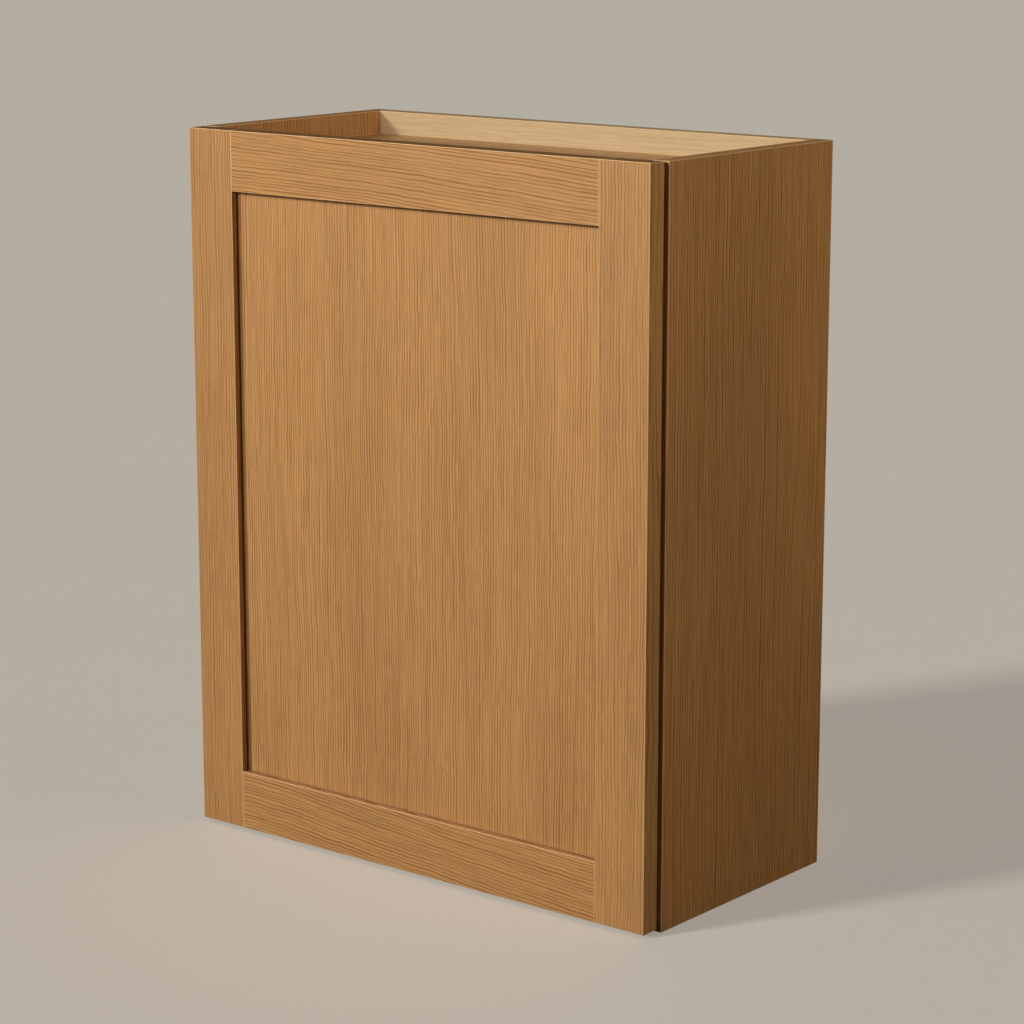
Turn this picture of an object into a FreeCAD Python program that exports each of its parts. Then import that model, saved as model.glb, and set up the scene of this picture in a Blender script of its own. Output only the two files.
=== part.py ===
"""Hanging wall cabinet with one shaker door, as an assembly of separate boards and hardware.

Frame: millimetres, +Z up. The door faces -Y and the wall is at +Y. The origin is under the
middle of the cabinet: X = 0 and Y = 0 halve its width and its overall depth, Z = 0 is its base.
"""

import FreeCAD, Part
import math
import os

Vector = FreeCAD.Vector

# ---- driving dimensions: carcass ----
WIDTH = 609.6                # 24 in, across the carcass
HEIGHT = 762.0               # 30 in
DEPTH = 304.8                # 12 in, door front to wall
BOARD = 19.05                # 3/4 in sides, top, bottom, shelves and hang rails
BACK_THICKNESS = 6.35
RECESS = 25.4                # top and bottom panels sit this far inside the ends of the sides
HOUSING = 6.35               # depth of the housings that hold the top and bottom panels
BACK_GROOVE = 6.0            # how far the back panel runs into the boards round it
GLUE_GAP = 0.1               # left at the blind end of a housing, groove or mortise
HANG_RAIL_HEIGHT = 88.9
BAND = 0.8                   # edge banding on every front edge
EASE = 0.6                   # eased arris of every board

# ---- driving dimensions: door ----
DOOR_THICKNESS = 22.2
DOOR_GAP = 3.2               # between the door's back and the carcass, set by the bumpers
DOOR_REVEAL = 3.2            # carcass showing beside and below the door; its top is flush
STILE = 60.3
RAIL = 63.5
PANEL_THICKNESS = 6.35
PANEL_SETBACK = 9.5          # panel face behind the face of the frame
PANEL_GROOVE = 10.0
PANEL_PLAY = 1.0             # room for the panel in its groove
BUMPER_RADIUS = 4.75
BUMPER_THICKNESS = 2.9
BUMPER_FROM_END = 14.0

# ---- driving dimensions: shelves and their pegs ----
HOLE_PITCH = 32.0
ROW_SETBACK = 37.0           # front row of holes behind the front of the carcass
ROW_SPACING = 192.0          # front row to rear row
PEG_HOLE_RADIUS = 2.5
PEG_HOLE_DEPTH = 10.0
PEG_ROWS = range(-7, 8)      # holes, counted in pitches from mid height
SHELF_ROWS = {"lower": -3, "upper": 4}
SHELF_SIDE_PLAY = 1.5
SHELF_SETBACK = 12.0
SHELF_BACK_PLAY = 2.0
PEG_FIT = 0.05
PEG_REACH = 8.0
PEG_WIDTH = 12.0
PEG_PLATE = 1.4
PEG_PLATE_DROP = 8.0
SHELF_LIFT_GAP = 0.1         # shelf and pegs are separate bodies, so they stay just apart

# ---- driving dimensions: hinges, measured from the carcass' front left corner ----
HINGE_ROW = 8.5              # hinge centres above and below mid height, in pitches
PIVOT_IN = 10.1              # pin to the carcass' side face
PIVOT_FORWARD = 12.0         # pin to the carcass' front plane
CUP_TAB = 3.0                # wood left between the door's edge and the cup
CUP_BORE_RADIUS = 17.5
CUP_BORE_DEPTH = 12.5
CUP_FIT = 0.1
CUP_FLOOR = 0.7
CUP_LEFT_WALL = 1.1
FLANGE = 1.0
FLANGE_RADIUS = 19.0
FLANGE_EDGE = 2.0            # flange kept this far inside the door's edge
WING_HALF_HEIGHT = 31.0
WING_HALF_WIDTH = 6.0
CUP_SCREW_SPREAD = 24.0
CUP_SCREW_OFFSET = 6.0
BOWL_RADIUS = 16.4
POCKET_HALF = 5.5            # half height of the slot that the knuckle turns in
NOTCH_REACH = 5.0
NOTCH_FLOOR = 3.0            # notch stops this far above the pin
PIN_RADIUS = 1.5
PIN_HALF_LENGTH = 8.4
LUG_REACH = 2.8              # bearing lugs stand this far round the middle of the pin
PIN_FIT = 0.06
KNUCKLE_RADIUS = 2.4
ARM_HALF = 5.1
ARM_SHEET = 1.8
ARM_LEG = 1.2
ARM_LEG_CLEAR = 0.25
ARM_BEND = 5.0
ARM_STANDOFF = 8.0           # inner face of the side to the middle of the arm's web
ARM_BACK = 62.0
ARM_LEG_FRONT = 6.0
PLATE = 2.0
PLATE_HALF_HEIGHT = 25.0
PLATE_HALF_WIDTH = 9.0
SPINE_HALF = 3.6
SPINE_FRONT = 10.0
SPINE_BACK = 60.0
PLATE_SCREW_DEPTH = 12.0
ADJUSTER_AT = (22.0, 51.0)   # the two screws through the arm, behind the carcass front
ADJUSTER_SHANK = 2.0
SCREW_FIT = 0.05

# ---- driving dimensions: fixing ----
STUD_SPACING = 406.4         # 16 in between wall studs
WALL_HOLE_RADIUS = 2.5
WALL_HOLE_FROM_PANEL = 22.5  # wall screws clear the top and bottom panels
DOWEL_RADIUS = 4.0
DOWEL_FIT = 0.02
DOWEL_IN_SIDE = 12.0
DOWEL_IN_RAIL = 20.0
DOWEL_FROM_EDGE = 22.0

# ---- derived places ----
LEFT, RIGHT = -WIDTH / 2, WIDTH / 2
INNER_LEFT, INNER_RIGHT = LEFT + BOARD, RIGHT - BOARD
DOOR_FRONT = -DEPTH / 2
DOOR_BACK = DOOR_FRONT + DOOR_THICKNESS
FRONT = DOOR_BACK + DOOR_GAP
WALL = DEPTH / 2
RAIL_FACE = WALL - BOARD
BACK_FACE = RAIL_FACE - BACK_THICKNESS
CORE_FRONT = FRONT + BAND
MIDDLE = HEIGHT / 2
FLOOR_TOP = RECESS + BOARD
CEILING = HEIGHT - FLOOR_TOP
DOOR_LEFT, DOOR_RIGHT = LEFT + DOOR_REVEAL, RIGHT - DOOR_REVEAL
DOOR_FOOT = DOOR_REVEAL
PANEL_FRONT = DOOR_FRONT + PANEL_SETBACK
PANEL_BACK = PANEL_FRONT + PANEL_THICKNESS
FRONT_ROW = FRONT + ROW_SETBACK
REAR_ROW = FRONT_ROW + ROW_SPACING
PIVOT = Vector(LEFT + PIVOT_IN, FRONT - PIVOT_FORWARD, 0)
CUP_X = DOOR_LEFT + CUP_TAB + CUP_BORE_RADIUS
HINGE_HEIGHTS = {"lower": MIDDLE - HINGE_ROW * HOLE_PITCH, "upper": MIDDLE + HINGE_ROW * HOLE_PITCH}
X_AXIS, Y_AXIS, Z_AXIS = Vector(1, 0, 0), Vector(0, 1, 0), Vector(0, 0, 1)


def box(x, y, z):
    """A block from three (low, high) pairs."""
    size = [high - low for low, high in (x, y, z)]
    return Part.makeBox(*size, Vector(x[0], y[0], z[0]))


def rod(radius, length, start, axis):
    return Part.makeCylinder(radius, length, start, axis)


def eased_board(x, y, z, square=(), radius=EASE):
    """A board with rounded arrises, apart from those of the faces named in square, such as '-y'."""
    block = box(x, y, z)
    planes = {"-x": (0, x[0]), "+x": (0, x[1]), "-y": (1, y[0]), "+y": (1, y[1]), "-z": (2, z[0]), "+z": (2, z[1])}

    def lies_in(edge, plane):
        axis, place = plane
        return all(abs(vertex.Point[axis] - place) < 1e-6 for vertex in edge.Vertexes)

    edges = [e for e in block.Edges if not any(lies_in(e, planes[name]) for name in square)]
    return block.makeFillet(radius, edges)


def without(shape, *tools):
    for tool in tools:
        shape = shape.cut(tool)
    return shape


# ---- carcass ----
def side_panel(side):
    """side is -1 for the left board and 1 for the right one."""
    outer, inner = side * WIDTH / 2, side * (WIDTH / 2 - BOARD)
    x = (min(outer, inner), max(outer, inner))
    board = eased_board(x, (CORE_FRONT, WALL), (0, HEIGHT), square=("-y",))

    def into_side(depth):
        end = inner + side * depth
        return (min(inner, end), max(inner, end))

    housings = [
        box(into_side(HOUSING), (CORE_FRONT, RAIL_FACE), (RECESS, FLOOR_TOP)),
        box(into_side(HOUSING), (CORE_FRONT, RAIL_FACE), (CEILING, HEIGHT - RECESS)),
        box(into_side(BACK_GROOVE), (BACK_FACE, RAIL_FACE), (FLOOR_TOP - BACK_GROOVE, CEILING + BACK_GROOVE)),
    ]
    peg_holes = [
        rod(PEG_HOLE_RADIUS, PEG_HOLE_DEPTH, Vector(inner, y, MIDDLE + n * HOLE_PITCH), X_AXIS * side)
        for y in (FRONT_ROW, REAR_ROW)
        for n in PEG_ROWS
    ]
    dowel_holes = [
        rod(DOWEL_RADIUS, DOWEL_IN_SIDE + GLUE_GAP, Vector(inner, y, z), X_AXIS * side) for y, z in dowel_places()
    ]
    board = without(board, *housings, *peg_holes, *dowel_holes)
    if side < 0:
        board = without(board, *plate_screw_holes())
    return board


def plate_screw_holes():
    return [
        rod(PEG_HOLE_RADIUS, PLATE_SCREW_DEPTH + GLUE_GAP, Vector(INNER_LEFT, FRONT_ROW, z + dz), -X_AXIS)
        for z in HINGE_HEIGHTS.values()
        for dz in (-HOLE_PITCH / 2, HOLE_PITCH / 2)
    ]


def dowel_places():
    """(y, z) of the dowels in each end of the two hang rails."""
    y = (RAIL_FACE + WALL) / 2
    low = (DOWEL_FROM_EDGE, HANG_RAIL_HEIGHT - DOWEL_FROM_EDGE)
    return [(y, z) for z in low] + [(y, HEIGHT - z) for z in low]


def level_panel(top):
    """The top or the bottom panel, housed in both sides and rebated for the back panel."""
    z = (CEILING, CEILING + BOARD) if top else (RECESS, FLOOR_TOP)
    reach = HOUSING - GLUE_GAP
    panel = box((INNER_LEFT - reach, INNER_RIGHT + reach), (CORE_FRONT, RAIL_FACE), z)
    rebate = (CEILING, CEILING + BACK_GROOVE) if top else (FLOOR_TOP - BACK_GROOVE, FLOOR_TOP)
    return without(panel, box((LEFT, RIGHT), (BACK_FACE, RAIL_FACE + 1), rebate))


def back_panel():
    reach = BACK_GROOVE - GLUE_GAP
    panel = box((INNER_LEFT - reach, INNER_RIGHT + reach), (BACK_FACE, RAIL_FACE), (FLOOR_TOP - reach, CEILING + reach))
    return without(panel, *wall_holes())


def wall_hole_heights():
    return (FLOOR_TOP + WALL_HOLE_FROM_PANEL, CEILING - WALL_HOLE_FROM_PANEL)


def wall_holes():
    """The four clearance holes for the screws into the wall studs."""
    return [
        rod(WALL_HOLE_RADIUS, WALL - BACK_FACE + 2, Vector(x, BACK_FACE - 1, z), Y_AXIS)
        for x in (-STUD_SPACING / 2, STUD_SPACING / 2)
        for z in wall_hole_heights()
    ]


def hang_rail(top):
    z = (HEIGHT - HANG_RAIL_HEIGHT, HEIGHT) if top else (0, HANG_RAIL_HEIGHT)
    rail = eased_board((INNER_LEFT, INNER_RIGHT), (RAIL_FACE, WALL), z, square=("-x", "+x"))
    sockets = [
        rod(DOWEL_RADIUS, DOWEL_IN_RAIL + GLUE_GAP, Vector(x, y, z_hole), direction)
        for x, direction in ((INNER_LEFT, X_AXIS), (INNER_RIGHT, -X_AXIS))
        for y, z_hole in dowel_places()
    ]
    return without(rail, *wall_holes(), *sockets)


def rail_dowels():
    length = DOWEL_IN_SIDE + DOWEL_IN_RAIL
    starts = (INNER_LEFT - DOWEL_IN_SIDE, INNER_RIGHT - DOWEL_IN_RAIL)
    return [rod(DOWEL_RADIUS - DOWEL_FIT, length, Vector(x, y, z), X_AXIS) for x in starts for y, z in dowel_places()]


def edge_band(x, z, front=FRONT):
    return eased_board(x, (front, front + BAND), z, square=("+y",), radius=BAND / 2)


# ---- shelves ----
def peg_height(which):
    return MIDDLE + SHELF_ROWS[which] * HOLE_PITCH


def shelf_spans(which):
    """x and z spans of a shelf that rests on its pegs."""
    half = INNER_RIGHT - SHELF_SIDE_PLAY
    z = peg_height(which) + PEG_HOLE_RADIUS + SHELF_LIFT_GAP
    return (-half, half), (z, z + BOARD)


def shelf(which):
    x, z = shelf_spans(which)
    return eased_board(x, (FRONT + SHELF_SETBACK + BAND, BACK_FACE - SHELF_BACK_PLAY), z, square=("-y",))


def shelf_band(which):
    x, z = shelf_spans(which)
    return edge_band(x, z, FRONT + SHELF_SETBACK)


def shelf_pegs(which):
    """Four angle pegs: a pin in the hole, a plate against the side and a ledge under the shelf."""
    pegs = []
    z = peg_height(which)
    top = z + PEG_HOLE_RADIUS
    for side in (-1, 1):
        wall = side * (WIDTH / 2 - BOARD)
        for y in (FRONT_ROW, REAR_ROW):
            pin = rod(PEG_HOLE_RADIUS - PEG_FIT, PEG_HOLE_DEPTH - 1, Vector(wall, y, z), X_AXIS * side)
            plate_end, ledge_end = wall - side * PEG_PLATE, wall - side * (PEG_PLATE + PEG_REACH)
            across = (y - PEG_WIDTH / 2, y + PEG_WIDTH / 2)
            plate = box((min(wall, plate_end), max(wall, plate_end)), across, (z - PEG_PLATE_DROP, top))
            ledge = box((min(wall, ledge_end), max(wall, ledge_end)), across, (top - PEG_PLATE, top))
            pegs.append(pin.fuse([plate, ledge]).removeSplitter())
    return pegs


# ---- door ----
def door_groove(x, z):
    return box(x, (PANEL_FRONT, PANEL_BACK), z)


def door_stile(side):
    """A full-height stile: side is -1 for the hinge stile and 1 for the free one."""
    outer = side * (WIDTH / 2 - DOOR_REVEAL)
    inner = outer - side * STILE
    root = inner + side * PANEL_GROOVE
    stile = eased_board((min(outer, inner), max(outer, inner)), (DOOR_FRONT, DOOR_BACK), (DOOR_FOOT, HEIGHT))
    stile = without(stile, door_groove((min(inner, root), max(inner, root)), (0, HEIGHT + 1)))
    if side > 0:
        return stile
    bores = []
    for z in HINGE_HEIGHTS.values():
        bores.append(rod(CUP_BORE_RADIUS, CUP_BORE_DEPTH, Vector(CUP_X, DOOR_BACK, z), -Y_AXIS))
        bores += [rod(1.5, 11, place, -Y_AXIS) for place in cup_screw_places(z)]
    return without(stile, *bores)


def door_rail(top):
    """A rail with a stub tenon at each end, in the grooves of the stiles."""
    x = (DOOR_LEFT + STILE, DOOR_RIGHT - STILE)
    z = (HEIGHT - RAIL, HEIGHT) if top else (DOOR_FOOT, DOOR_FOOT + RAIL)
    inner_edge = z[0] if top else z[1]
    root = inner_edge + PANEL_GROOVE if top else inner_edge - PANEL_GROOVE
    tenon_z = (root, z[1]) if top else (z[0], root)
    reach = PANEL_GROOVE - GLUE_GAP
    rail = eased_board(x, (DOOR_FRONT, DOOR_BACK), z)
    tenon = box((x[0] - reach, x[1] + reach), (PANEL_FRONT, PANEL_BACK), tenon_z)
    rail = rail.fuse(tenon).removeSplitter()
    return without(rail, door_groove((x[0] - reach, x[1] + reach), (min(inner_edge, root), max(inner_edge, root))))


def door_panel():
    reach = PANEL_GROOVE - PANEL_PLAY
    x = (DOOR_LEFT + STILE - reach, DOOR_RIGHT - STILE + reach)
    z = (DOOR_FOOT + RAIL - reach, HEIGHT - RAIL + reach)
    return box(x, (PANEL_FRONT, PANEL_BACK), z)


def door_bumper(z):
    """A soft round stop on the back of the free stile, over the middle of the side's front edge."""
    x = (INNER_RIGHT + RIGHT) / 2
    disc = rod(BUMPER_RADIUS, BUMPER_THICKNESS, Vector(x, DOOR_BACK, z), Y_AXIS)
    face = [e for e in disc.Edges if len(e.Vertexes) == 1 and abs(e.Vertexes[0].Y - DOOR_BACK) > 1]
    return disc.makeFillet(1.2, face)


# ---- hinges ----
def cup_screw_places(z, off_face=0.0):
    return [Vector(CUP_X + CUP_SCREW_OFFSET, DOOR_BACK + off_face, z + dz) for dz in (-CUP_SCREW_SPREAD, CUP_SCREW_SPREAD)]


def hinge_cup(z):
    """The pressed cup in the door: a round bowl, with a flange and two wings on the stile's back."""
    centre = Vector(CUP_X, DOOR_BACK, z)
    radius = CUP_BORE_RADIUS - CUP_FIT
    body = rod(radius, CUP_BORE_DEPTH - CUP_FIT, centre, -Y_AXIS)
    disc = rod(FLANGE_RADIUS, FLANGE, centre, Y_AXIS)
    disc = without(disc, box((LEFT, DOOR_LEFT + FLANGE_EDGE), (DOOR_BACK - 1, FRONT), (z - 50, z + 50)))
    wing_x = CUP_X + CUP_SCREW_OFFSET
    wing = box(
        (wing_x - WING_HALF_WIDTH, wing_x + WING_HALF_WIDTH),
        (DOOR_BACK, DOOR_BACK + FLANGE),
        (z - WING_HALF_HEIGHT, z + WING_HALF_HEIGHT),
    )
    wing = wing.makeFillet(4.0, [e for e in wing.Edges if abs(e.tangentAt(e.FirstParameter).y) > 0.9])
    cup = body.fuse([disc, wing]).removeSplitter()
    pocket_left = CUP_X - radius + CUP_LEFT_WALL
    floor = DOOR_BACK - CUP_BORE_DEPTH + CUP_FIT + CUP_FLOOR
    half = (z - POCKET_HALF, z + POCKET_HALF)
    bowl = rod(BOWL_RADIUS, FRONT - floor, Vector(CUP_X, floor, z), Y_AXIS)
    lugs = box((LEFT, PIVOT.x + LUG_REACH), (floor, PIVOT.y + LUG_REACH), (z - CUP_BORE_RADIUS, z + CUP_BORE_RADIUS))
    slot = box((pocket_left, CUP_X), (floor, FRONT), half)
    notch = box((LEFT, pocket_left + NOTCH_REACH), (PIVOT.y + NOTCH_FLOOR, FRONT), half)
    pin_hole = rod(PIN_RADIUS, 2 * PIN_HALF_LENGTH, PIVOT + Z_AXIS * (z - PIN_HALF_LENGTH), Z_AXIS)
    screw_holes = [rod(2.2, FLANGE + 2, place - Y_AXIS, Y_AXIS) for place in cup_screw_places(z)]
    return without(cup, bowl.cut(lugs), slot, notch, pin_hole, *screw_holes)


def hinge_pin(z):
    return rod(PIN_RADIUS, 2 * PIN_HALF_LENGTH, PIVOT + Z_AXIS * (z - PIN_HALF_LENGTH), Z_AXIS)


def pan_head_screw(place, axis, head_radius, head_height, shank_radius, shank_length, slot=True):
    """A screw whose head stands on place, with its shank running against axis, and a cross recess."""
    head = rod(head_radius, head_height, place, axis)
    rim = [e for e in head.Edges if len(e.Vertexes) == 1 and (e.Vertexes[0].Point - place).dot(axis) > 1e-3]
    head = head.makeFillet(head_height * 0.6, rim)
    screw = head.fuse(rod(shank_radius, shank_length, place - axis * shank_length, axis)).removeSplitter()
    if not slot:
        return screw
    across = X_AXIS if abs(axis.x) < 0.5 else Y_AXIS
    arm, blade = head_radius * 0.55, head_radius * 0.16
    for along, other in ((across, Z_AXIS), (Z_AXIS, across)):
        corner = place + axis * (head_height * 0.45)
        size = along * arm + other * blade
        low, high = corner - size, corner + size + axis * head_height
        spans = [(min(low[k], high[k]), max(low[k], high[k])) for k in range(3)]
        screw = screw.cut(box(*spans))
    return screw


def cup_screws(z):
    return [pan_head_screw(p, Y_AXIS, 3.6, 1.6, 1.45, 10.0) for p in cup_screw_places(z, FLANGE)]


def hinge_arm(z):
    """The bent arm: a knuckle round the pin, a gooseneck out of the cup and a channel over the plate."""
    web = INNER_LEFT + ARM_STANDOFF
    half = ARM_SHEET / 2
    run = PIVOT.y - KNUCKLE_RADIUS + half
    bend = Vector(web - ARM_BEND, run + ARM_BEND, 0)
    diagonal = math.sqrt(0.5)

    def on_bend(radius, x, y):
        return bend + Vector(x * radius, -y * radius, 0)

    outer, inner = ARM_BEND + half, ARM_BEND - half
    tip, back = PIVOT.x, FRONT + ARM_BACK
    outline = [
        Part.LineSegment(Vector(tip, run - half, 0), on_bend(outer, 0, 1)),
        Part.Arc(on_bend(outer, 0, 1), on_bend(outer, diagonal, diagonal), on_bend(outer, 1, 0)),
        Part.LineSegment(on_bend(outer, 1, 0), Vector(web + half, back, 0)),
        Part.LineSegment(Vector(web + half, back, 0), Vector(web - half, back, 0)),
        Part.LineSegment(Vector(web - half, back, 0), on_bend(inner, 1, 0)),
        Part.Arc(on_bend(inner, 1, 0), on_bend(inner, diagonal, diagonal), on_bend(inner, 0, 1)),
        Part.LineSegment(on_bend(inner, 0, 1), Vector(tip, run + half, 0)),
        Part.LineSegment(Vector(tip, run + half, 0), Vector(tip, run - half, 0)),
    ]
    strip = Part.Face(Part.Wire([piece.toShape() for piece in outline]))
    strip = strip.extrude(Z_AXIS * 2 * ARM_HALF)
    strip.translate(Z_AXIS * (z - ARM_HALF))
    knuckle = rod(KNUCKLE_RADIUS, 2 * ARM_HALF, PIVOT + Z_AXIS * (z - ARM_HALF), Z_AXIS)
    leg_x = (INNER_LEFT + PLATE + ARM_LEG_CLEAR, web)
    leg_y = (FRONT + ARM_LEG_FRONT, FRONT + ARM_BACK)
    legs = [
        box(leg_x, leg_y, (z + ARM_HALF - ARM_LEG, z + ARM_HALF)),
        box(leg_x, leg_y, (z - ARM_HALF, z - ARM_HALF + ARM_LEG)),
    ]
    arm = strip.fuse([knuckle, *legs]).removeSplitter()
    bore = rod(PIN_RADIUS + PIN_FIT, 2 * ARM_HALF + 2, PIVOT + Z_AXIS * (z - ARM_HALF - 1), Z_AXIS)
    holes = [
        rod(ADJUSTER_SHANK + SCREW_FIT, ARM_SHEET + 2, Vector(web - half - 1, FRONT + y, z), X_AXIS) for y in ADJUSTER_AT
    ]
    return without(arm, bore, *holes)


def hinge_plate(z):
    """The mounting plate screwed to the left side, with the spine that the arm straddles."""
    base = box(
        (INNER_LEFT, INNER_LEFT + PLATE),
        (FRONT_ROW - PLATE_HALF_WIDTH, FRONT_ROW + PLATE_HALF_WIDTH),
        (z - PLATE_HALF_HEIGHT, z + PLATE_HALF_HEIGHT),
    )
    base = base.makeFillet(5.0, [e for e in base.Edges if abs(e.tangentAt(e.FirstParameter).x) > 0.9])
    top = INNER_LEFT + ARM_STANDOFF - ARM_SHEET / 2 - 0.2
    spine = box((INNER_LEFT, top), (FRONT + SPINE_FRONT, FRONT + SPINE_BACK), (z - SPINE_HALF, z + SPINE_HALF))
    plate = base.fuse(spine).removeSplitter()
    holes = [
        rod(PEG_HOLE_RADIUS, PLATE + 2, Vector(INNER_LEFT - 1, FRONT_ROW, z + dz), X_AXIS)
        for dz in (-HOLE_PITCH / 2, HOLE_PITCH / 2)
    ]
    holes += [
        rod(ADJUSTER_SHANK + SCREW_FIT, 5.0, Vector(top - 4.0, FRONT + y, z), X_AXIS) for y in ADJUSTER_AT
    ]
    return without(plate, *holes)


def plate_screws(z):
    places = [Vector(INNER_LEFT + PLATE, FRONT_ROW, z + dz) for dz in (-HOLE_PITCH / 2, HOLE_PITCH / 2)]
    shank = PLATE_SCREW_DEPTH + PLATE
    return [pan_head_screw(p, X_AXIS, 4.3, 2.0, PEG_HOLE_RADIUS - SCREW_FIT, shank) for p in places]


def arm_screws(z):
    face = INNER_LEFT + ARM_STANDOFF + ARM_SHEET / 2
    places = [Vector(face, FRONT + y, z) for y in ADJUSTER_AT]
    return [pan_head_screw(p, X_AXIS, 3.7, 1.8, ADJUSTER_SHANK, ARM_SHEET + 3.5) for p in places]


# ---- assembly ----
def assembly():
    """Every node's name and its solids."""
    nodes = {
        "side_panel_left": [side_panel(-1)],
        "side_panel_right": [side_panel(1)],
        "top_panel": [level_panel(True)],
        "bottom_panel": [level_panel(False)],
        "back_panel": [back_panel()],
        "hang_rail_top": [hang_rail(True)],
        "hang_rail_bottom": [hang_rail(False)],
        "rail_dowels": rail_dowels(),
        "edge_band_left": [edge_band((LEFT, INNER_LEFT), (0, HEIGHT))],
        "edge_band_right": [edge_band((INNER_RIGHT, RIGHT), (0, HEIGHT))],
        "edge_band_top": [edge_band((INNER_LEFT, INNER_RIGHT), (CEILING, CEILING + BOARD))],
        "edge_band_bottom": [edge_band((INNER_LEFT, INNER_RIGHT), (RECESS, FLOOR_TOP))],
        "door_stile_hinge_side": [door_stile(-1)],
        "door_stile_free_side": [door_stile(1)],
        "door_rail_top": [door_rail(True)],
        "door_rail_bottom": [door_rail(False)],
        "door_panel": [door_panel()],
        "door_bumper_lower": [door_bumper(DOOR_FOOT + BUMPER_FROM_END)],
        "door_bumper_upper": [door_bumper(HEIGHT - BUMPER_FROM_END)],
    }
    for which in SHELF_ROWS:
        nodes[f"shelf_{which}"] = [shelf(which)]
        nodes[f"shelf_{which}_edge_band"] = [shelf_band(which)]
        nodes[f"shelf_{which}_pegs"] = shelf_pegs(which)
    for which, z in HINGE_HEIGHTS.items():
        nodes[f"hinge_{which}_cup"] = [hinge_cup(z)]
        nodes[f"hinge_{which}_pin"] = [hinge_pin(z)]
        nodes[f"hinge_{which}_arm"] = [hinge_arm(z)]
        nodes[f"hinge_{which}_plate"] = [hinge_plate(z)]
        nodes[f"hinge_{which}_cup_screws"] = cup_screws(z)
        nodes[f"hinge_{which}_plate_screws"] = plate_screws(z)
        nodes[f"hinge_{which}_arm_screws"] = arm_screws(z)
    return nodes


def main():
    os.makedirs("parts", exist_ok=True)
    for name, solids in assembly().items():
        pieces = [solid for shape in solids for solid in shape.Solids]
        assert len(pieces) == len(solids) and all(s.isValid() and s.Volume > 0 for s in pieces), name
        shape = pieces[0] if len(pieces) == 1 else Part.makeCompound(pieces)
        shape.exportStep(f"parts/{name}.step")


if __name__ == "__main__":
    main()
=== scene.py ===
"""Hanging wall cabinet: lacquered oak boards, plated hinges and pegs, and a plain studio round them.

Everything is in metres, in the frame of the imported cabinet: +X right, +Y to the wall, +Z up.
"""

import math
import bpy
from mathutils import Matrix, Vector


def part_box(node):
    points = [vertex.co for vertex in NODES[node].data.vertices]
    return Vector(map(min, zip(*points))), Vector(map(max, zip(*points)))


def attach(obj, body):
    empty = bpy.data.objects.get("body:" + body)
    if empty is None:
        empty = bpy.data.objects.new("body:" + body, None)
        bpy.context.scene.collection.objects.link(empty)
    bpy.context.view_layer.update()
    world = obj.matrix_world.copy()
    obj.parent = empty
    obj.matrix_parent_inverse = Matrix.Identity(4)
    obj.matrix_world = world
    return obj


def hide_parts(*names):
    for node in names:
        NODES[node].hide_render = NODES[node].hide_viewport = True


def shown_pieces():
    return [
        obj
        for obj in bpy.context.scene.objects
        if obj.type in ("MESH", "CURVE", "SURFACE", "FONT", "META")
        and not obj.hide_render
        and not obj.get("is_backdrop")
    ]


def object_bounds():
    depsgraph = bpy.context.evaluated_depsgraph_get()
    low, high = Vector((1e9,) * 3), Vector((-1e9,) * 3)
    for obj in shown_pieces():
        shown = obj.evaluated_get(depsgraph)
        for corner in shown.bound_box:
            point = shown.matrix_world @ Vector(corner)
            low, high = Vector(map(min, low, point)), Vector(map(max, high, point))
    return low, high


bl_info = {
    "name": "Hanging wall cabinet",
    "version": (1, 0, 0),
    "blender": (4, 5, 0),
    "location": "3D View > Sidebar > Cabinet",
    "description": "Wood finishes, fittings and studio for a hanging wall cabinet with one framed door",
    "category": "Object",
}

import bmesh
import bpy
from bpy.props import FloatProperty, FloatVectorProperty, PointerProperty
from mathutils import Matrix, Vector

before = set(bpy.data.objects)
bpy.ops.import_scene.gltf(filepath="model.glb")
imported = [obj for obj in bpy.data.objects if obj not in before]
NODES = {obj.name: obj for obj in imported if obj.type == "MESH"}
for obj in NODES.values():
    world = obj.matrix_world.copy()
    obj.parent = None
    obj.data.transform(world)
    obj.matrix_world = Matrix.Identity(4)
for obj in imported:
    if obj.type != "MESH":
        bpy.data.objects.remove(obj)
CAD_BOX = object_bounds()
PANEL_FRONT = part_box("door_panel")[0].y
LEVELS = ("lower", "upper")
SIDES = ("left", "right")
ENDS = ("top", "bottom")


# ---- settings ----
def colour_setting(name, description, default):
    return FloatVectorProperty(
        name=name, description=description, default=default, subtype="COLOR", size=3, min=0.0, max=1.0
    )


def length_setting(name, description, default):
    return FloatProperty(
        name=name, description=description, default=default, unit="LENGTH", min=0.0, precision=4
    )


def angle_setting(name, description, degrees):
    return FloatProperty(
        name=name, description=description, default=math.radians(degrees), subtype="ANGLE"
    )


def amount_setting(name, description, default):
    return FloatProperty(name=name, description=description, default=default, min=0.0)


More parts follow.
